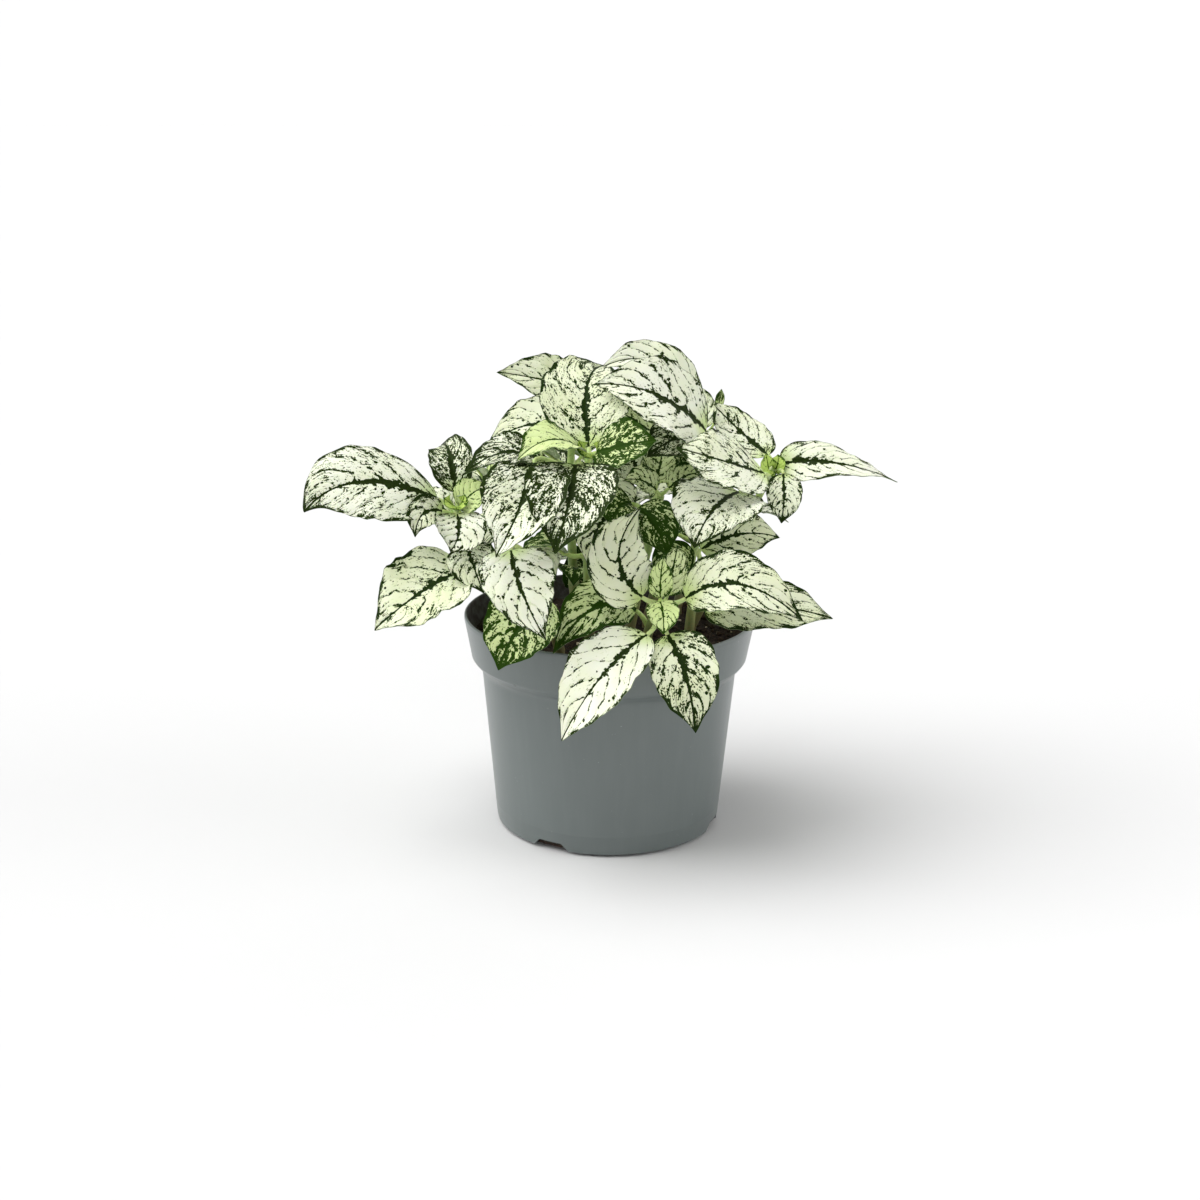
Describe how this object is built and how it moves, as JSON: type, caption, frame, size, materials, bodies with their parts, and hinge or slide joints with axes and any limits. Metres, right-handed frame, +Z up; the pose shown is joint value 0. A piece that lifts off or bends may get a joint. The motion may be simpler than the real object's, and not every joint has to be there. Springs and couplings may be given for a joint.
{
  "type": "potted polka dot plant",
  "caption": "Bushy polka dot plant with cream leaves speckled green, standing in soil in a round grey plastic nursery pot.",
  "frame": {"origin": "middle of the pot's flat underside", "axes": "+Z up out of the pot, -Y the front as pictured, +X to the right, along the widest spread of leaves"},
  "size_m": [0.2343, 0.182, 0.1973],
  "materials": {
    "pot_plastic": "satin moulded plastic",
    "soil": "crumbled dark potting soil",
    "leaf": "cream leaf speckled and veined with green"
  },
  "bodies": {
    "root": {"pot": "pot_plastic", "soil": "soil", "shoot_centre": "leaf", "shoot_front": "leaf", "shoot_front_left": "leaf", "shoot_high_right": "leaf", "shoot_left": "leaf", "shoot_low_right": "leaf", "shoot_middle": "leaf", "shoot_rear": "leaf", "shoot_rear_left": "leaf", "shoot_rear_left_high": "leaf", "shoot_rear_right": "leaf", "shoot_right": "leaf"}
  },
  "joints": []
}
